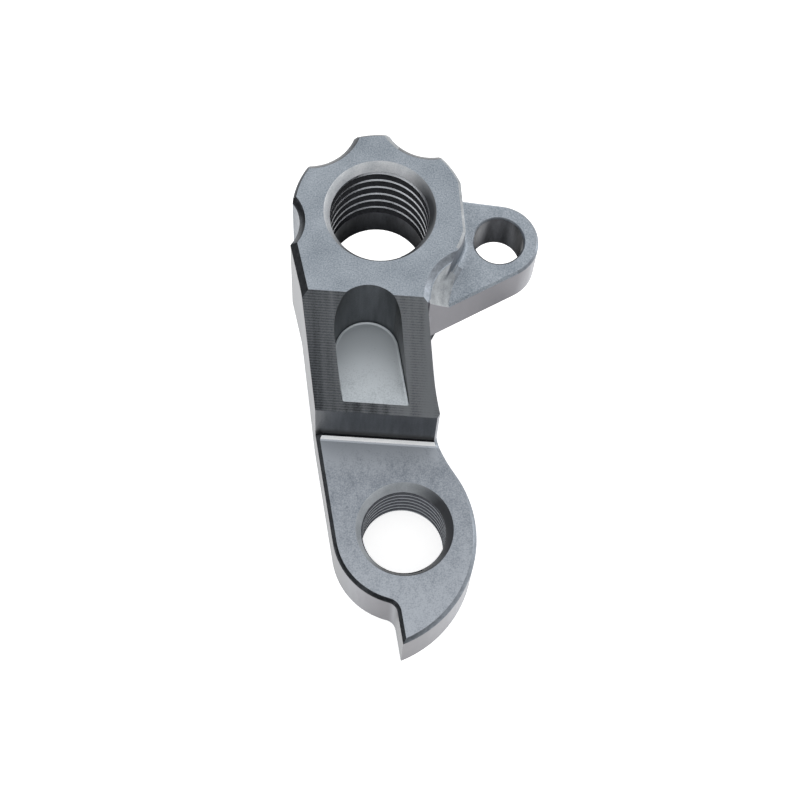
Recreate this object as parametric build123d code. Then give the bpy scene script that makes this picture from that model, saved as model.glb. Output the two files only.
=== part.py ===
# Bicycle derailleur hanger: one piece, machined from aluminium bar.
# Millimetres, +Z out of the head's upper face. The origin is where the axle thread's axis
# meets the head's back face, and the derailleur bolt's hole lies towards -Y.
# Levels are measured from the head's upper face, and the finished solid is lifted at the end.
import os
from math import acos, cos, degrees, radians, sin, sqrt, tan

from build123d import *

# Head: a boss round the axle thread, with scallops like a hand knob
head_radius = 9.1
head_thickness = 14.4
head_flat_depth = 0.45      # how far the flat above the ear cuts in from the boss's own circle
scallop_radius = 5.1
scallop_depth = 1.3         # how far each scallop cuts in from the boss's own circle
scallop_angles = (61, 121)
side_scallop_radius = 3.8   # smaller scallop in the left edge
side_scallop_depth = 0.75
side_scallop_angle = 181.7

# Axle thread, bored to its crests
axle_crest_radius = 5.19
axle_chamfer = 0.65
countersink_angle = 60      # cone at the mouths of both threads

# Ear with the bolt hole that holds the hanger to the frame
ear_out = 3.8               # from the head's flat to the bolt hole's axis
ear_y = -2.25
ear_radius = 4.2
ear_top = -4.0
ear_thickness = 5.5
ear_hole_radius = 2.62
ear_hole_chamfer = 0.18
ear_foot_fillet = 0.9       # at the foot of the boss's wall
ear_root_fillet = 1.0       # between the ear and the arm's right side

# Arm: it leaves the head at a small angle and slopes down to the plate
arm_angle = 4.8             # turn of the arm's sides from -Y towards +X
arm_right = 3.15            # where its right side's line passes the axle
cheek_turn = 3.4            # further turn of the left side beside the head
shoulder_drop = 1.5         # from the boss's lowest point to where the slanting shoulder meets the right side
hollow_right = 0.24         # tapered hollow in the shoulder, above the ear: its axis lies this far
hollow_drop = 1.38          # to the right of the boss and below it
hollow_radius = 5.1         # at its upper edge
hollow_foot_radius = 4.38
hollow_depth = 3.0

# Side profile of head, ramp and plate, square to the ramp's edges
ramp_skew = 8.0             # turn of the ramp's edges from the X axis
ramp_start = 9.5            # from the axle to the ramp's upper edge
ramp_end = 18.6             # from the axle to the ramp's lower edge
ramp_drop = 10.0
underside_start = 9.0
underside_end = 17.8
plate_top = -17.0
plate_thickness = 7.3
step_fillet = 0.75

# Round-ended pocket in the ramp
pocket_center = (-2.1, -11.8)
pocket_half_width = 3.45
pocket_floor = -9.1
pocket_fillet = 0.3

# Plate with the derailleur bolt's thread
bolt_center = (0.8, -29.0)
bolt_crest_radius = 4.46
bolt_chamfer = 0.75
back_center = (-4.2, -29.4)  # centre of the long curve at the plate's back
back_radius = 12.6
waist_radius = 17.0         # hollow curve between the arm and the plate's back
heel_center = (1.1, -29.27)
heel_radius = 8.01          # the arm's left side runs into this curve
claw_side = -3.85           # where the line of the claw's straight side passes the axle
claw_fillet = 1.3

# Edge breaks
side_chamfer = 0.7          # straight left edge of the head's face
scallop_chamfer = 0.6       # also at the shoulder's hollow
face_chamfer = 0.3
ear_chamfer = 0.25
heel_chamfer = 0.4
back_chamfer = 0.4

head_flat = head_radius - head_flat_depth
plate_bottom = plate_top - plate_thickness
over = 1.0                  # how far cutting tools run past the faces they cut
slack = 0.01                # room left when edges are picked by their place

standing = (Align.CENTER, Align.CENTER, Align.MIN)
up = Vector(0, 0, 1)
arm_across = Vector(cos(radians(arm_angle)), sin(radians(arm_angle)))
arm_down = Vector(sin(radians(arm_angle)), -cos(radians(arm_angle)))
ramp_up = Vector(sin(radians(ramp_skew)), cos(radians(ramp_skew)))
ear = Vector(head_flat + ear_out, ear_y)
bolt = Vector(*bolt_center)
heel = Vector(*heel_center)
back = Vector(*back_center)
pocket = Vector(*pocket_center)
hollow = Vector(head_radius + hollow_right, -head_radius - hollow_drop)
axle = Vector(0, 0)


def side_point(place, y):
    """Point at a height y of the plan on the line of one of the arm's sides."""
    return Vector(place - y * tan(radians(arm_angle)), y)


def lower_crossing(place, center, radius):
    """Where the line of a side that passes the axle at a place leaves a circle."""
    across = place * cos(radians(arm_angle))
    gap = arm_across.dot(center) - across
    run = arm_down.dot(center) + sqrt(radius ** 2 - gap ** 2)
    return arm_across * across + arm_down * run


def tangent_point(start, center, radius, side):
    """Where a line from a point outside touches a circle."""
    reach = start - center
    swing = side * degrees(acos(radius / reach.length))
    return center + reach.normalized().rotate(Axis.Z, swing) * radius


def scallop_center(radius, depth, angle):
    """Centre of a scallop that cuts a depth into the boss's own circle."""
    return (head_radius - depth + radius) * Vector(cos(radians(angle)), sin(radians(angle)))


def scallops():
    """Centre and radius of each scallop."""
    large = [(scallop_center(scallop_radius, scallop_depth, angle), scallop_radius) for angle in scallop_angles]
    small = scallop_center(side_scallop_radius, side_scallop_depth, side_scallop_angle)
    return large + [(small, side_scallop_radius)]


def shoulder_foot():
    """Foot of the slanting shoulder on the arm's right side."""
    return side_point(arm_right, -head_radius - shoulder_drop)


def shoulder_touch():
    """Where the shoulder runs into the boss's circle."""
    return tangent_point(shoulder_foot(), axle, head_radius, 1)


def arc_about(center, start, end):
    """The shorter arc round a centre from start to end."""
    middle = ((start + end) / 2 - center).normalized() * (start - center).length
    return ThreePointArc(start, center + middle, end)


def arm_left_place():
    """Where the line of the arm's left side passes the axle: it touches the heel's curve."""
    return (arm_across.dot(heel) - heel_radius) / cos(radians(arm_angle))


def cheek_foot():
    """Where the ramp's upper edge meets the arm's left side, which turns there."""
    place = arm_left_place()
    skew = radians(ramp_skew)
    y = -(ramp_start + place * sin(skew)) / (cos(skew) - tan(radians(arm_angle)) * sin(skew))
    return side_point(place, y)


def cheek_top():
    """Upper end of the left side beside the head, level with the axle."""
    foot = cheek_foot()
    return Vector(foot.X + foot.Y * tan(radians(arm_angle + cheek_turn)), 0)


def waist_center():
    """Centre of the hollow curve that touches the arm's right side and the plate's back."""
    across = arm_right * cos(radians(arm_angle)) + waist_radius
    reach = back_radius + waist_radius
    gap = across - arm_across.dot(back)
    run = arm_down.dot(back) - sqrt(reach ** 2 - gap ** 2)
    return arm_across * across + arm_down * run


def head_plan():
    """The boss round the axle thread, with its flat above the ear."""
    beyond_flat = Pos(head_flat + head_radius, 0) * Rectangle(2 * head_radius, 4 * head_radius)
    return Circle(head_radius) - beyond_flat


def arm_plan():
    """Arm and plate: shoulder, heel, claw, back and waist."""
    waist = waist_center()
    heel_touch = heel - arm_across * heel_radius
    claw_root = lower_crossing(claw_side, heel, heel_radius)
    claw_tip = lower_crossing(claw_side, back, back_radius)
    back_touch = back + (waist - back).normalized() * back_radius
    waist_touch = waist - arm_across * waist_radius
    outline = [
        Polyline(cheek_top(), cheek_foot(), heel_touch),
        arc_about(heel, heel_touch, claw_root),
        Line(claw_root, claw_tip),
        arc_about(back, claw_tip, back_touch),
        arc_about(waist, back_touch, waist_touch),
        Polyline(waist_touch, shoulder_foot(), shoulder_touch(), axle, cheek_top()),
    ]
    plan = make_face(outline)
    root = plan.vertices().sort_by_distance(claw_root)[0]
    return fillet(root, claw_fillet)


def ear_plan():
    """Flat ear with tangent sides, from the head's flat to the arm's right side."""
    root_top = Vector(head_flat, sqrt(head_radius ** 2 - head_flat ** 2))
    top_touch = tangent_point(root_top, ear, ear_radius, -1)
    foot_touch = tangent_point(shoulder_foot(), ear, ear_radius, 1)
    sides = make_face(Polyline(axle, shoulder_foot(), foot_touch, ear, top_touch, root_top, close=True))
    return sides + Pos(ear) * Circle(ear_radius)


def side_profile():
    """Head, ramp and plate seen along the ramp's edges, drawn out across the plan."""
    far = 4 * head_radius
    points = [(far, 0), (-ramp_start, 0), (-ramp_end, -ramp_drop), (-ramp_end, plate_top),
              (-2 * far, plate_top), (-2 * far, plate_bottom), (-underside_end, plate_bottom),
              (-underside_start, -head_thickness), (far, -head_thickness)]
    plane = Plane(origin=(0, 0, 0), x_dir=ramp_up, z_dir=ramp_up.cross(up))
    return extrude(plane * make_face(Polyline(*points, close=True)), far, both=True)


def through_hole(center, radius, top, bottom):
    """Cutting tool for a hole right through."""
    depth = top - bottom + 2 * over
    return Pos(center.X, center.Y, bottom - over) * Cylinder(radius, depth, align=standing)


def mouth(center, radius, size, level, angle=90):
    """Cutting tool for the chamfer at a hole's mouth, as wide as its size, with a cone's full angle."""
    spread = tan(radians(angle / 2))
    depth = size / spread
    height = depth + over
    cone = Cone(radius, radius + height * spread, height, align=standing)
    return Pos(center.X, center.Y, level - depth) * cone


def pocket_tool():
    """Round-ended slot that opens out through the ramp, with a flat floor."""
    length = ramp_end
    plan = Circle(pocket_half_width) + Pos(0, -length / 2) * Rectangle(2 * pocket_half_width, length)
    tool = extrude(plan, -pocket_floor + over)
    sides = tool.edges().group_by(Axis.Z)[0].filter_by(lambda edge: (edge @ 0.5).Y > -length + over)
    tool = fillet(sides, pocket_fillet)
    return Pos(pocket.X, pocket.Y, pocket_floor) * Rot(0, 0, arm_angle) * tool


def hollow_tool():
    """Tapered cutting tool for the hollow in the shoulder, with its chamfered upper edge."""
    taper = (hollow_radius - hollow_foot_radius) / hollow_depth
    top_radius = hollow_radius + taper * over
    cone = Cone(hollow_foot_radius, top_radius, hollow_depth + over, align=standing)
    return Pos(hollow.X, hollow.Y, -hollow_depth) * cone + mouth(hollow, hollow_radius, scallop_chamfer, 0)


def corner_cutter(start, end, size, top):
    """Cutting tool for the chamfer along a straight upper edge, with the metal on its right."""
    along = (end - start).normalized()
    reach = size + over
    section = make_face(Polyline((-reach, over), (over, over), (over, -reach), close=True))
    plane = Plane(origin=Vector(start.X, start.Y, top) - along * over, x_dir=up.cross(along), z_dir=along)
    return extrude(plane * section, (end - start).length + 2 * over)


def level_edges(solid, level):
    """Edges that lie in one level plane."""
    return solid.edges().filter_by_position(Axis.Z, level, level)


def head():
    """The boss round the axle thread, with broken edges."""
    boss = extrude(head_plan(), -head_thickness)
    return chamfer(level_edges(boss, 0) + level_edges(boss, -head_thickness), face_chamfer)


def is_heel_side(edge):
    """Whether an edge of the plate lies on the arm's left side, the heel or the claw's side."""
    middle = edge @ 0.5
    place = arm_across.dot(middle) / cos(radians(arm_angle))
    return place < claw_side + slack


def is_back_side(edge):
    """Whether an edge of the plate is the waist's curve or the curve of the plate's back."""
    return edge.geom_type == GeomType.CIRCLE and arm_across.dot(edge @ 0.5) > 0


def step_edge(solid):
    """The edge where the front wall below the ramp meets the plate."""
    return level_edges(solid, plate_top).sort_by(lambda edge: ramp_up.dot(edge @ 0.5))[-1]


def arm():
    """Arm and plate, with the fillet at the step and the plate's broken edges."""
    solid = extrude(arm_plan(), plate_bottom) & side_profile()
    solid = chamfer(level_edges(solid, plate_top).filter_by(is_heel_side), heel_chamfer)
    solid = fillet(step_edge(solid), step_fillet)
    return chamfer(level_edges(solid, plate_top).filter_by(is_back_side), back_chamfer)


def flat_ear():
    """The ear on its own, with its upper rim broken."""
    slab = Pos(0, 0, ear_top) * extrude(ear_plan(), -ear_thickness)
    rim = level_edges(slab, ear_top).filter_by(lambda edge: (edge @ 0.5).X > head_flat)
    return chamfer(rim, ear_chamfer)


def with_ear(solid):
    """The solid with its ear, blended into the boss's wall and the arm's right side."""
    solid += flat_ear()
    foot = level_edges(solid, ear_top).filter_by(lambda edge: (edge @ 0.5).X < head_flat + slack)
    solid = fillet(foot, ear_foot_fillet)
    middle = Vector(0, 0, ear_top - ear_thickness / 2) + shoulder_foot()
    corner = solid.edges().filter_by(Axis.Z).sort_by_distance(middle)[0]
    return fillet(corner, ear_root_fillet)


def build_hanger():
    """The whole hanger as one solid."""
    solid = head() + arm()
    solid -= corner_cutter(cheek_foot(), cheek_top(), side_chamfer, 0)
    solid -= hollow_tool()
    for center, radius in scallops():
        solid -= through_hole(center, radius, 0, -head_thickness)
        solid -= mouth(center, radius, scallop_chamfer, 0)
    solid = with_ear(solid)
    solid -= pocket_tool()
    solid -= through_hole(axle, axle_crest_radius, 0, -head_thickness)
    solid -= mouth(axle, axle_crest_radius, axle_chamfer, 0, countersink_angle)
    solid -= through_hole(bolt, bolt_crest_radius, plate_top, plate_bottom)
    solid -= mouth(bolt, bolt_crest_radius, bolt_chamfer, plate_top, countersink_angle)
    solid -= through_hole(ear, ear_hole_radius, ear_top, ear_top - ear_thickness)
    solid -= mouth(ear, ear_hole_radius, ear_hole_chamfer, ear_top)
    return solid


hanger = Pos(0, 0, head_thickness) * build_hanger()
os.makedirs("parts", exist_ok=True)
export_step(hanger, "parts/hanger.step")
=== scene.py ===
# Bicycle derailleur hanger in machined aluminium, on white paper in a plain pale studio.
# The order is the milled body, the finish of each cut surface, the web beside the shoulder,
# the threads, and the studio.
from math import cos, radians, sin, tan

import bmesh
import bpy
from mathutils import Matrix, Vector


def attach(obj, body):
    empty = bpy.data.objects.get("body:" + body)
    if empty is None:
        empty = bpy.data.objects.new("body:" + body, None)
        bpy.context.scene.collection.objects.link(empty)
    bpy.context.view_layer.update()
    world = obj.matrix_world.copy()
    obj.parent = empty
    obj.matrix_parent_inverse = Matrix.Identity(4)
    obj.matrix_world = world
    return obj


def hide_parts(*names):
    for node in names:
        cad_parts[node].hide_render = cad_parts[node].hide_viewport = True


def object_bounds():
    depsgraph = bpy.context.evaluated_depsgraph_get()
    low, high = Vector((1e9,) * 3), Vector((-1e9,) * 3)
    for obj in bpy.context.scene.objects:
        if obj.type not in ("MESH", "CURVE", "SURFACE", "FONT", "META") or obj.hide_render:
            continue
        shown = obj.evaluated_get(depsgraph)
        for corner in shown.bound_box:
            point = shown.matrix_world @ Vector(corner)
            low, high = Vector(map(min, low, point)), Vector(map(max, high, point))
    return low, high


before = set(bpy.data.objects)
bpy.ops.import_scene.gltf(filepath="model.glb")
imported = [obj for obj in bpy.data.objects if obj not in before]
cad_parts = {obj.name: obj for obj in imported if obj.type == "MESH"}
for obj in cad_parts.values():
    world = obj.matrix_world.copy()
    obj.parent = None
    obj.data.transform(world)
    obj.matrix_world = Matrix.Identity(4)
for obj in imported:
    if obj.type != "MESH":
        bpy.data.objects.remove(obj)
cad_low, cad_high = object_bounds()
mm = 0.001


# Body: one piece of aluminium bar, milled to shape on all sides in a machining centre.
# Each surface has the finish that its cutter left, and a fine stone has taken the
# sharpness off the edges, which leaves a narrow rounded line along each of them.
edge_break = 0.06 * mm
edge_break_angle = radians(25)
arm_turn = radians(4.8)
ramp_turn = radians(8)
ramp_run, ramp_drop = 9.1, 10.0
underside_run, underside_drop = 8.8, 9.9
plate_level = -2.6 * mm
step_height = 0.8 * mm
ear_start = 4 * mm
ear_level = 10.4 * mm
ear_foot_height = 1.0 * mm
axle = Vector((0, 0, 0))
axle_mouth_radius = 6.1 * mm
bolt = Vector((0.8, -29.0, 0)) * mm
bolt_mouth_radius = 5.3 * mm
ear_hole = Vector((12.45, -2.25, 0)) * mm
ear_hole_mouth_radius = 3.1 * mm
side_scallop = Vector((-12.15, -0.36, 0)) * mm
side_scallop_radius = 3.9 * mm
hollow = Vector((9.34, -10.48, 0)) * mm
hollow_mouth_radius = 5.8 * mm
pocket = Vector((-2.1, -11.8, 0)) * mm
pocket_half_width = 3.45 * mm
pocket_floor = 5.3 * mm
spare = 0.05 * mm
seam_gap = 0.0005 * mm
flat_angle = radians(0.2)
arm_across = Vector((cos(arm_turn), sin(arm_turn), 0))
arm_down = Vector((sin(arm_turn), -cos(arm_turn), 0))
ramp_across = Vector((cos(ramp_turn), -sin(ramp_turn), 0))
ramp_down = Vector((-sin(ramp_turn), -cos(ramp_turn), 0))
ramp_normal = (ramp_down * ramp_drop + Vector((0, 0, ramp_run))).normalized()
underside_normal = -(ramp_down * underside_drop + Vector((0, 0, underside_run))).normalized()

# How far a face is turned, as the cosine between its normal and a direction.
same_way = 0.99
nearly_level = 0.95
nearly_across = 0.9
nearly_upright = 0.2
square = 0.02
sloping = 0.5
pocket_floor_tilt = 0.7
fillet_foot_tilt = 0.94
fillet_top_tilt = 0.6

(HEAD, PLATE, POCKET, RAMP, STEP, FILLET, WALL, HOLLOW, EDGE, MID_GREY_PAINTED_SHADE,
 AXLE_MOUTH, BOLT_MOUTH, BORE, CREST, GROOVE_AND_PAINTED_SHADE) = range(15)


def node_copy(name):
    """A CAD node's mesh as a bmesh with its doubles merged and its flat faces whole."""
    shape = bmesh.new()
    shape.from_mesh(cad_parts[name].data)
    bmesh.ops.remove_doubles(shape, verts=shape.verts, dist=seam_gap)
    bmesh.ops.dissolve_limit(shape, angle_limit=flat_angle, verts=shape.verts, edges=shape.edges)
    return shape


def within(face, center, reach):
    """Whether all of a face lies within a distance of a vertical axis."""
    return all((corner.co.xy - center.xy).length < reach for corner in face.verts)


def in_pocket(face):
    """Whether a face is one of the pocket's walls, its fillet or its floor."""
    for corner in face.verts:
        place = (corner.co - pocket).xy.to_3d()
        across = abs(arm_across.dot(place))
        down = arm_down.dot(place)
        inside = across < pocket_half_width + spare
        if down < 0:
            inside = Vector((across, down)).length < pocket_half_width + spare
        if not inside or corner.co.z < pocket_floor - spare:
            return False
    return True


def hole_finish(face):
    """The finish of a face inside one of the three holes, or None elsewhere."""
    mouths = ((axle, axle_mouth_radius, AXLE_MOUTH), (bolt, bolt_mouth_radius, BOLT_MOUTH),
              (ear_hole, ear_hole_mouth_radius, MID_GREY_PAINTED_SHADE))
    for center, reach, mouth in mouths:
        if abs(face.normal.z) < nearly_level and within(face, center, reach):
            return BORE if abs(face.normal.z) < nearly_upright else mouth
    return None


def finish_of(face):
    """Which of the metal's finishes, some of them with painted light or shade, a face has."""
    tilt = face.normal.z
    middle = face.calc_center_median()
    in_hole = hole_finish(face)
    if in_hole is not None:
        return in_hole
    if in_pocket(face):
        if tilt > pocket_floor_tilt:
            return POCKET
        # The pocket's right wall gets the black of the thread grooves, as painted shade.
        return GROOVE_AND_PAINTED_SHADE if face.normal.dot(arm_across) < -nearly_across else STEP
    if abs(tilt) > same_way:
        return PLATE if middle.z < 0 < tilt else HEAD
    if abs(face.normal.dot(ramp_across)) < square and plate_level < middle.z < plate_level + step_height:
        if tilt > fillet_foot_tilt:
            return PLATE
        # The fillet's steep upper part gets the black of the thread grooves, as a painted dark reflection.
        return FILLET if tilt > fillet_top_tilt else GROOVE_AND_PAINTED_SHADE
    if face.normal.dot(ramp_normal) > same_way or face.normal.dot(underside_normal) > same_way:
        return RAMP
    if face.normal.dot(ramp_down) > same_way:
        return STEP
    if within(face, hollow, hollow_mouth_radius) and middle.z > ear_level:
        return HOLLOW if abs(tilt) < sloping else MID_GREY_PAINTED_SHADE
    if middle.x > ear_start and ear_level < middle.z < ear_level + ear_foot_height:
        return HEAD
    if within(face, side_scallop, side_scallop_radius):
        return MID_GREY_PAINTED_SHADE
    if abs(tilt) < nearly_upright:
        return WALL
    if face.normal.x > sloping and middle.z > ear_level:
        return HOLLOW
    return EDGE if face.normal.x < 0 or middle.z > ear_level else MID_GREY_PAINTED_SHADE


body_shape = node_copy("hanger")
for face in body_shape.faces:
    face.material_index = finish_of(face)
sharp = [edge for edge in body_shape.edges if edge.calc_face_angle(0) > edge_break_angle]
bmesh.ops.bevel(body_shape, geom=sharp, offset=edge_break, offset_type="OFFSET", segments=2,
                profile=0.5, affect="EDGES", clamp_overlap=True, material=-1)
body_mesh = bpy.data.meshes.new("hanger_body")
body_shape.to_mesh(body_mesh)
body_shape.free()
body = bpy.data.objects.new("hanger_body", body_mesh)
bpy.context.collection.objects.link(body)


# Blasted faces: the head and the ear are blasted with fine beads and anodised grey. The
# beads leave dents of about 0.05 mm, drawn here 0.15 mm wide so that they show: the eye
# sees an even grey with a fine cool sparkle, soft clouds and no clear reflections.
dent_width = 0.15 * mm


def linear(hex_colour):
    """An sRGB hex colour as the linear colour that a shader takes."""
    channels = [int(hex_colour[place:place + 2], 16) / 255 for place in (1, 3, 5)]
    return [(c / 12.92 if c <= 0.04045 else ((c + 0.055) / 1.055) ** 2.4) for c in channels] + [1]


def add(material, kind, links=(), **settings):
    """A node of one kind, with its attributes, socket values and links set."""
    node = material.node_tree.nodes.new(kind)
    for name, value in settings.items():
        setattr(node, name, value)
    for socket, value in links:
        if isinstance(value, bpy.types.NodeSocket):
            material.node_tree.links.new(value, node.inputs[socket])
        else:
            node.inputs[socket].default_value = value
    return node


def aluminium(name, roughness, dark, light, streak, stretch=(1, 1, 1), turn=0, sparkle=0.4,
              dent=0.006 * mm, metallic=1):
    """Aluminium from dark to light with its cutter's streaks, and with fine dents over them."""
    material = bpy.data.materials.new(name)
    material.use_nodes = True
    place = add(material, "ShaderNodeTexCoord").outputs["Object"]
    turned = add(material, "ShaderNodeMapping",
                 [("Vector", place), ("Rotation", (0, 0, turn)), ("Scale", stretch)])
    streaks = add(material, "ShaderNodeTexNoise", [("Vector", turned.outputs[0]), ("Scale", 1 / streak)])
    dents = add(material, "ShaderNodeTexNoise", [("Vector", place), ("Scale", 1 / dent_width)])
    marks = add(material, "ShaderNodeMix",
                [("Factor", sparkle), ("A", streaks.outputs["Fac"]), ("B", dents.outputs["Fac"])])
    tones = add(material, "ShaderNodeValToRGB", [("Fac", marks.outputs["Result"])])
    for stop, level, colour in zip(tones.color_ramp.elements, (0.3, 0.7), (dark, light)):
        stop.position = level
        stop.color = linear(colour)
    bump = add(material, "ShaderNodeBump",
               [("Height", dents.outputs["Fac"]), ("Distance", dent), ("Strength", 0.5)])
    shader = material.node_tree.nodes["Principled BSDF"]
    shader.inputs["Metallic"].default_value = metallic
    shader.inputs["Roughness"].default_value = roughness
    material.node_tree.links.new(tones.outputs["Color"], shader.inputs["Base Color"])
    material.node_tree.links.new(bump.outputs["Normal"], shader.inputs["Normal"])
    return material


blasted = aluminium("bead_blasted_aluminium", 0.5, "#78818A", "#AEB5BD", 3 * mm, sparkle=0.7,
                    dent=0.01 * mm)


# Plate: blasted and anodised like the head, then rubbed by the derailleur that was bolted to
# it. The rubbed anodising scatters more light than bare metal does, so it is less metallic. The
# eye sees the same grey with slanting clouds, a little paler beside the step and at the claw.
def fade(material, axis, first, last, low, high):
    """Lightens a metal's pattern along an axis, by low up to first and by high from last on."""
    tones = material.node_tree.nodes["Color Ramp"]
    marks = tones.inputs["Fac"].links[0].from_socket
    place = add(material, "ShaderNodeTexCoord").outputs["Object"]
    along = add(material, "ShaderNodeSeparateXYZ", [("Vector", place)]).outputs[axis]
    change = add(material, "ShaderNodeMapRange", [("Value", along), ("From Min", first),
                                                  ("From Max", last), ("To Min", low), ("To Max", high)])
    changed = add(material, "ShaderNodeMath", [(0, marks), (1, change.outputs["Result"])], operation="ADD")
    material.node_tree.links.new(changed.outputs[0], tones.inputs["Fac"])


plate = aluminium("rubbed_plate_aluminium", 0.35, "#69717B", "#A2A8B0", 1.0 * mm, (1, 0.5, 1),
                  radians(50), 0.65, metallic=0.4)
fade(plate, "Y", -20 * mm, -38 * mm, -0.03, 0.15)
fade(plate, "Y", -23 * mm, -19.5 * mm, 0, 0.3)


# Pocket's floor: the round-ended bottom of the slot that a ball-cornered mill cut in the arm.
# It is blasted too. Its grey is painted the palest of all the faces, and paler still towards its round
# end, as painted light that lifts the shade of the walls round it.
pocket_floor_painted_light_metal = aluminium("blasted_pocket_aluminium_painted_paler", 0.35, "#98A0A6", "#C2C9CE", 1.5 * mm,
                               sparkle=0.7, metallic=0.4)
fade(pocket_floor_painted_light_metal, "Y", -19 * mm, -11 * mm, 0, 0.35)


# Ramp: the slopes are cut by a ball-nosed cutter in passes across the arm, 0.2 mm apart.
# The eye sees fine level lines, with broad lighter bands down the slope, and the slope is darker to the
# left and lighter to the right.
pass_height = 0.22 * mm
pass_contrast = 0.14
wave_per_length = radians(360) / 20
ramp = aluminium("milled_ramp_aluminium", 0.4, "#505459", "#A0A4A9", 1.3 * mm, (1, 0.06, 0.06),
                 ramp_turn, 0.3)
place = add(ramp, "ShaderNodeTexCoord").outputs["Object"]
lines = add(ramp, "ShaderNodeTexWave",
            [("Vector", place), ("Scale", wave_per_length / pass_height), ("Distortion", 0.5)],
            bands_direction="Z")
tones = ramp.node_tree.nodes["Color Ramp"]
bands = tones.inputs["Fac"].links[0].from_socket
lined = add(ramp, "ShaderNodeMath", [(0, lines.outputs["Fac"]), (1, pass_contrast), (2, bands)],
            operation="MULTIPLY_ADD")
ramp.node_tree.links.new(lined.outputs[0], tones.inputs["Fac"])
fade(ramp, "X", -6 * mm, 4 * mm, -0.14, 0.06)


# Step's front wall and the pocket's walls: cut by the side of a slot mill, and nearly smooth.
# The eye sees a dark grey with faint upright streaks. The front wall's foot mirrors the corner
# that it stands in, so it is drawn nearly black below a level.
def shade_side(material, side, first, last, colour, measured="Normal"):
    """Paints shade into a metal: another tone where its surface looks to one side, or, with Object, where
    it lies there.
    """
    shader = material.node_tree.nodes["Principled BSDF"]
    tone = shader.inputs["Base Color"].links[0].from_socket
    source = add(material, "ShaderNodeTexCoord").outputs[measured]
    facing = add(material, "ShaderNodeVectorMath", [(0, source), (1, side)], operation="DOT_PRODUCT")
    share = add(material, "ShaderNodeMapRange",
                [("Value", facing.outputs["Value"]), ("From Min", first), ("From Max", last)])
    colour_a, colour_b, mixed_colour = 6, 7, 2
    mix = add(material, "ShaderNodeMix",
              [("Factor", share.outputs["Result"]), (colour_a, tone), (colour_b, linear(colour))],
              data_type="RGBA")
    material.node_tree.links.new(mix.outputs[mixed_colour], shader.inputs["Base Color"])


step = aluminium("end_milled_step_aluminium", 0.4, "#505357", "#6E7175", 0.6 * mm, (1, 1, 0.1))
shade_side(step, (0, 0, -1), 0.6 * mm, 1.6 * mm, "#1C1D1F", "Object")


# Fillet at the foot of the step: the round that the corner of the cutter left, which was
# never blasted. Its reflection of the lamps is narrower than a pixel, so the metal is drawn
# nearly white and scattering, and the eye sees one thin bright line.
fillet_metal = aluminium("bright_fillet_aluminium", 0.4, "#E6E8EA", "#FCFDFE", 0.5 * mm, (0.1, 1, 1),
                         ramp_turn, metallic=0.1)


# Outer walls: cut by the side of a long end mill, from the top of the bar to its underside.
# The eye sees soft upright streaks. Where a wall faces the front or the left, its tone is painted darker,
# as painted shade, so the walls that face right look brightest.
wall = aluminium("end_milled_wall_aluminium", 0.35, "#7A7B82", "#94969C", 0.8 * mm, (1, 1, 0.15))
shade_side(wall, (0, -1, 0), 0.6, 0.95, "#66656A")
shade_side(wall, (-1, 0, 0), 0.7, 0.98, "#6E7074")


# Hollow in the shoulder: a tapered ball-nosed mill plunged beside the head and was blasted
# over lightly. The eye sees a soft pale grey with wide clouds.
hollow_metal = aluminium("tapered_hollow_aluminium", 0.5, "#7E8286", "#B4B8BB", 0.8 * mm, metallic=0.4)


# Broken edges: cut after the blasting by a chamfer mill, whose smooth cut reflects the dark of the room,
# and that dark is also painted into their grey, as a painted reflection. The chamfers that face right low
# down, the rims, the side scallop, the ear hole's mouth and the hollow's flatter faces are painted a
# middle grey, as painted shade.
edge_metal = aluminium("chamfered_edge_aluminium", 0.3, "#383A3E", "#525559", 0.5 * mm)
mid_grey_shade_metal = aluminium("rim_aluminium_painted_mid_grey_shade", 0.4, "#6C7178", "#8A9097", 0.5 * mm)


# Countersinks, bores and threads: drilled, countersunk at 60 degrees and tapped. The countersinks are
# painted pale, as a painted reflection of the bright room, and painted dark on the sides that mirror the
# hole's own walls, and the bolt's countersink is a darker grey than the axle's. The bores are painted dark
# grey, as painted shade. In the upper thread the crests are painted bright, as a painted highlight, with
# black grooves between them painted as shade. The bolt thread's crests take the middle grey of the rims,
# and its grooves the bores' dark grey.
painted_wall_reflection_tone = "#45474B"
axle_mouth_metal = aluminium("countersunk_aluminium", 0.4, "#BBC1C7", "#F2F4F7", 2 * mm, metallic=0.2)
shade_side(axle_mouth_metal, (-1, 0, 0), 0.45, 0.85, painted_wall_reflection_tone)
shade_side(axle_mouth_metal, (0, 1, 0), 0.3, 0.7, painted_wall_reflection_tone)
bolt_mouth_metal = aluminium("bolt_countersunk_aluminium", 0.4, "#9CA2A8", "#C8CDD2", 2 * mm, metallic=0.2)
shade_side(bolt_mouth_metal, (-1, 0, 0), 0.1, 0.7, painted_wall_reflection_tone)
shade_side(bolt_mouth_metal, (0, 1, 0), 0.45, 0.75, painted_wall_reflection_tone)
bore_metal = aluminium("bored_aluminium", 0.3, "#3C3E42", "#54565B", 0.3 * mm, (1, 1, 0.2))
crest_metal = aluminium("thread_crest_aluminium", 0.3, "#A0A3A8", "#C0C3C8", 0.3 * mm)
groove_and_painted_shade_metal = aluminium("tapped_aluminium_painted_black_shade", 0.3, "#1C1D1F", "#2C2D30", 0.3 * mm)

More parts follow.
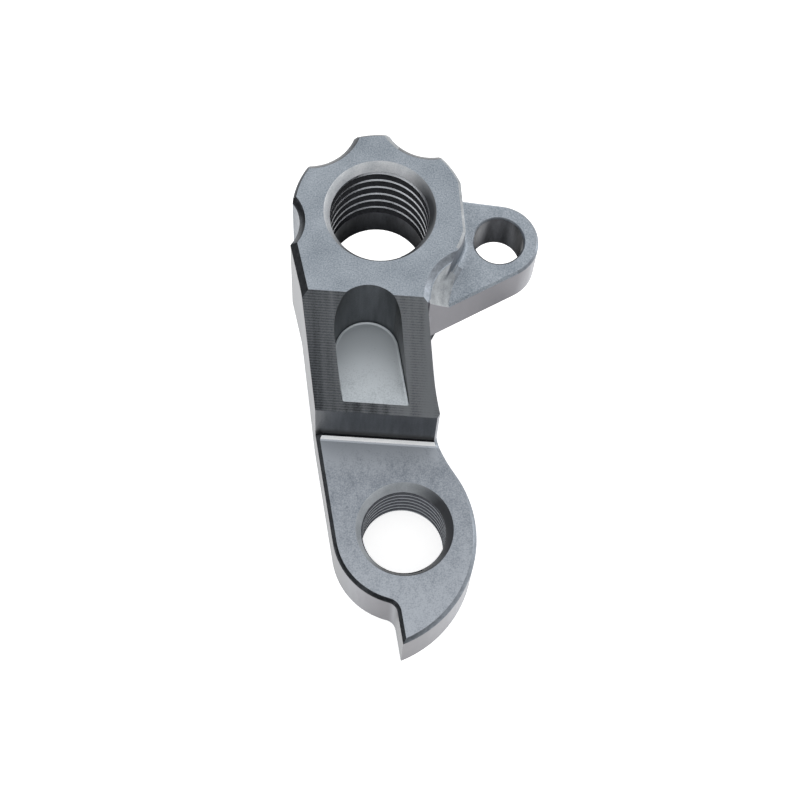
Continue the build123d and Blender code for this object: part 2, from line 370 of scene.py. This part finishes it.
finishes = {HEAD: blasted, PLATE: plate, POCKET: pocket_floor_painted_light_metal, RAMP: ramp, STEP: step,
            FILLET: fillet_metal, WALL: wall, HOLLOW: hollow_metal, EDGE: edge_metal, MID_GREY_PAINTED_SHADE: mid_grey_shade_metal,
            AXLE_MOUTH: axle_mouth_metal, BOLT_MOUTH: bolt_mouth_metal, BORE: bore_metal,
            CREST: crest_metal, GROOVE_AND_PAINTED_SHADE: groove_and_painted_shade_metal}
for finish in sorted(finishes):
    body_mesh.materials.append(finishes[finish])


# Shoulder's web: the tapered mill that cut the hollow left a sloping wall between the
# shoulder and the ear's front, which runs out along a crease on the ear's upper face. It is
# part of the same bar, with the outer walls' finish and, where the mill passed, the hollow's.
hollow_radius = 5.1 * mm
web_start = 10.0 * mm
web_top = 13.8 * mm
mill_foot = 9.9 * mm
mill_foot_radius = 33.66 * mm
mill_foot_center = Vector((39.18, -18.37, 0)) * mm


def meshed(name, shape):
    """An object made of a finished bmesh."""
    mesh = bpy.data.meshes.new(name)
    shape.to_mesh(mesh)
    shape.free()
    piece = bpy.data.objects.new(name, mesh)
    bpy.context.collection.objects.link(piece)
    return piece


def combine(piece, other, operation):
    """Joins another shape to a piece or cuts it out, for good."""
    tool = piece.modifiers.new("combine", "BOOLEAN")
    tool.operation = operation
    tool.solver = "EXACT"
    tool.object = other
    bpy.context.view_layer.update()
    finished = bpy.data.meshes.new_from_object(piece.evaluated_get(bpy.context.evaluated_depsgraph_get()))
    piece.modifiers.remove(tool)
    piece.data = finished
    bpy.data.objects.remove(other)


web_shape = bmesh.new()
web_corners = [(3.4, -10.0), (4.3, -10.5), (8.0, -8.85), (8.0, -6.0), (5.6, -6.0)]
web_foot = [web_shape.verts.new((x * mm, y * mm, web_start)) for x, y in web_corners]
web_face = web_shape.faces.new(web_foot)
raised = bmesh.ops.extrude_face_region(web_shape, geom=[web_face])["geom"]
bmesh.ops.translate(web_shape, vec=(0, 0, web_top - spare - web_start),
                    verts=[corner for corner in raised if isinstance(corner, bmesh.types.BMVert)])
bmesh.ops.recalc_face_normals(web_shape, faces=web_shape.faces)
for face in web_shape.faces:
    face.material_index = WALL
web = meshed("shoulder_web", web_shape)

mill_shape = bmesh.new()
mill_height = web_top - mill_foot
bmesh.ops.create_cone(mill_shape, cap_ends=True, segments=512, radius1=mill_foot_radius,
                      radius2=hollow_radius, depth=mill_height)
bmesh.ops.translate(mill_shape, vec=(0, 0, mill_foot + mill_height / 2), verts=mill_shape.verts)
for corner in mill_shape.verts:
    corner.co += mill_foot_center if corner.co.z < web_top - spare else hollow
for face in mill_shape.faces:
    face.material_index = HOLLOW
combine(web, meshed("tapered_mill", mill_shape), "DIFFERENCE")
combine(body, web, "UNION")


# Threads: an M12 x 1.5 thread for the axle, tapped from the countersink to two thirds of the
# head's depth, and an M10 x 1 thread through the plate for the derailleur's bolt. Both are
# right-handed V grooves in the bored walls, with narrow flats left at crest and root.
flank = tan(radians(30))
steps_per_turn = 72
run_out = 1.5 * mm
overcut = 0.25 * mm
crease_angle = radians(30)
axle_pitch = 1.5 * mm
axle_crest_radius = 5.19 * mm
axle_root_radius = 6.0 * mm
axle_thread_end = 4.3 * mm
axle_thread_start = 13.0 * mm
bolt_pitch = 1.0 * mm
bolt_crest_radius = 4.46 * mm
bolt_root_radius = 5.0 * mm
bolt_thread_start = -3.6 * mm


def thread_groove(name, center, start_level, end_level, pitch, crest_radius, root_radius):
    """A cutter as one tap's tooth sweeps it: a V section screwed upwards round the hole's axis."""
    inner_radius = crest_radius - overcut
    root_half = pitch / 16
    inner_half = root_half + (root_radius - inner_radius) * flank
    groove = bmesh.new()
    section = [(inner_radius, -inner_half), (root_radius, -root_half),
               (root_radius, root_half), (inner_radius, inner_half)]
    corners = [groove.verts.new(center + Vector((radius, 0, start_level + level)))
               for radius, level in section]
    first = groove.faces.new(corners)
    steps = round((end_level - start_level) / pitch * steps_per_turn)
    bmesh.ops.spin(groove, geom=[first, *first.edges, *first.verts], cent=center, axis=(0, 0, 1),
                   dvec=(0, 0, pitch / steps_per_turn), angle=radians(360) * steps / steps_per_turn,
                   steps=steps, use_merge=False, use_normal_flip=False, use_duplicate=False)
    bmesh.ops.recalc_face_normals(groove, faces=groove.faces)
    for face in groove.faces:
        face.material_index = GROOVE_AND_PAINTED_SHADE
    return meshed(name, groove)


combine(body, thread_groove("axle_thread", axle, axle_thread_end, axle_thread_start,
                            axle_pitch, axle_crest_radius, axle_root_radius), "DIFFERENCE")
combine(body, thread_groove("bolt_thread", bolt, cad_low.z - run_out, bolt_thread_start,
                            bolt_pitch, bolt_crest_radius, bolt_root_radius), "DIFFERENCE")

finished_shape = bmesh.new()
finished_shape.from_mesh(body.data)
for face in finished_shape.faces:
    face.smooth = True
    if face.material_index == BORE and within(face, axle, axle_mouth_radius):
        if face.calc_center_median().z > axle_thread_end:
            face.material_index = CREST
    if face.material_index in (BORE, GROOVE_AND_PAINTED_SHADE) and within(face, bolt, bolt_mouth_radius):
        face.material_index = MID_GREY_PAINTED_SHADE if face.material_index == BORE else BORE
for edge in finished_shape.edges:
    edge.smooth = edge.calc_face_angle(0) < crease_angle
finished_shape.to_mesh(body.data)
finished_shape.free()
body.modifiers.new("even_normals", "WEIGHTED_NORMAL").keep_sharp = True

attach(body, "root")
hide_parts("hanger")


# Paper: a sheet of white drawing paper under the hanger. Matt fibres scatter all light, so
# the eye sees a plain white that keeps the hanger's soft shadow. It glows a little for the
# camera and in reflections, so that it joins the white room without an edge.
paper_gap = 0.02 * mm
paper_glow = 0.7


def seen_rays(owner):
    """1 for a ray to the camera, from a reflection or through glass, and 0 for one that lights."""
    rays = add(owner, "ShaderNodeLightPath").outputs
    seen = add(owner, "ShaderNodeMath", [(0, rays["Is Camera Ray"]), (1, rays["Is Glossy Ray"])],
               operation="MAXIMUM")
    seen = add(owner, "ShaderNodeMath", [(0, seen.outputs[0]), (1, rays["Is Transmission Ray"])],
               operation="MAXIMUM")
    return seen.outputs[0]


floor_shape = bmesh.new()
bmesh.ops.create_grid(floor_shape, x_segments=1, y_segments=1, size=3)
bmesh.ops.translate(floor_shape, verts=floor_shape.verts, vec=(0, 0, cad_low.z - paper_gap))
floor = meshed("floor", floor_shape)
paper = bpy.data.materials.new("white_paper")
paper.use_nodes = True
shader = paper.node_tree.nodes["Principled BSDF"]
shader.inputs["Base Color"].default_value = linear("#F4F4F4")
shader.inputs["Roughness"].default_value = 0.9
glow = add(paper, "ShaderNodeMath", [(0, seen_rays(paper)), (1, paper_glow)], operation="MULTIPLY")
shader.inputs["Emission Color"].default_value = (1, 1, 1, 1)
paper.node_tree.links.new(glow.outputs[0], shader.inputs["Emission Strength"])
floor.data.materials.append(paper)


# Room: white walls all round, drawn as a plain white world. They look fully white, and light
# the hanger a little less than that, so that its pale faces don't clip.
room_light = 0.85
scene = bpy.context.scene
scene.view_settings.view_transform = "Standard"
world = bpy.data.worlds.new("studio")
scene.world = world
world.use_nodes = True
background = world.node_tree.nodes["Background"]
background.inputs["Color"].default_value = (1, 1, 1, 1)
strength = add(world, "ShaderNodeMath", [(0, seen_rays(world)), (1, 1 - room_light), (2, room_light)],
               operation="MULTIPLY_ADD")
world.node_tree.links.new(strength.outputs[0], background.inputs["Strength"])


# Softboxes: two lamps behind white cloth, one straight above the hanger, and one low to the
# right, whose light lies along the right walls.
def softbox(name, place, size, power):
    """A square soft lamp that faces the hanger."""
    lamp = bpy.data.lights.new(name, "AREA")
    lamp.size = size
    lamp.energy = power
    holder = bpy.data.objects.new(name, lamp)
    holder.location = place
    holder.rotation_euler = (-Vector(place)).to_track_quat("-Z", "Y").to_euler()
    bpy.context.collection.objects.link(holder)


softbox("overhead_softbox", (0, 0, 0.6), 0.12, 0.2)
softbox("right_softbox", (0.5, 0.1, 0.08), 0.15, 0.3)


# Flags: black felt cards on stands, two beyond the camera's frame. Only reflections see them, as a
# photographer darkens bright metal. Two small black cards lie on the paper under the head and the ear.
# They are a painted shadow of the hanger on the paper, which only reflections see, and they darken the
# bores and the ear's side.
black_card = bpy.data.materials.new("black_card")
black_card.use_nodes = True
shader = black_card.node_tree.nodes["Principled BSDF"]
shader.inputs["Base Color"].default_value = linear("#0A0A0A")
shader.inputs["Roughness"].default_value = 0.9


def flag(name, center, tip, turn, length, height):
    """A black card of a length and height, tipped and then turned, with its middle at a place."""
    shape = bmesh.new()
    bmesh.ops.create_grid(shape, x_segments=1, y_segments=1, size=0.5)
    placed = Matrix.Translation(center) @ Matrix.Rotation(turn, 4, "Z") @ Matrix.Rotation(tip, 4, "X")
    bmesh.ops.scale(shape, vec=(length, height, 1), verts=shape.verts)
    bmesh.ops.transform(shape, matrix=placed, verts=shape.verts)
    card = meshed(name, shape)
    card.data.materials.append(black_card)
    card.visible_camera = False
    card.visible_diffuse = False
    card.visible_shadow = False


card_level = cad_low.z + 0.1 * mm
flag("left_flag", (-0.5, 0.1, 0.1), radians(90), radians(90), 1.0, 0.2)
flag("front_flag", (0, -0.5, 0.15), radians(90), 0, 1.0, 0.3)
flag("head_painted_shadow_card", (0.5 * mm, 2 * mm, card_level), 0, 0, 9 * mm, 10 * mm)
flag("ear_painted_shadow_card", (13 * mm, -1.5 * mm, card_level), 0, 0, 13 * mm, 16 * mm)


# Camera: it looks down at the hanger from above its front edge, with a long lens, as in the
# photograph.
lens = bpy.data.cameras.new("camera")
lens.lens = 85.15
lens.clip_start = 0.01
camera = bpy.data.objects.new("camera", lens)
camera.location = Vector((-11.817, -90.759, 187.839)) * mm
camera.rotation_euler = [radians(turn) for turn in (22.07, -2.109, -4.705)]
bpy.context.collection.objects.link(camera)
scene.camera = camera
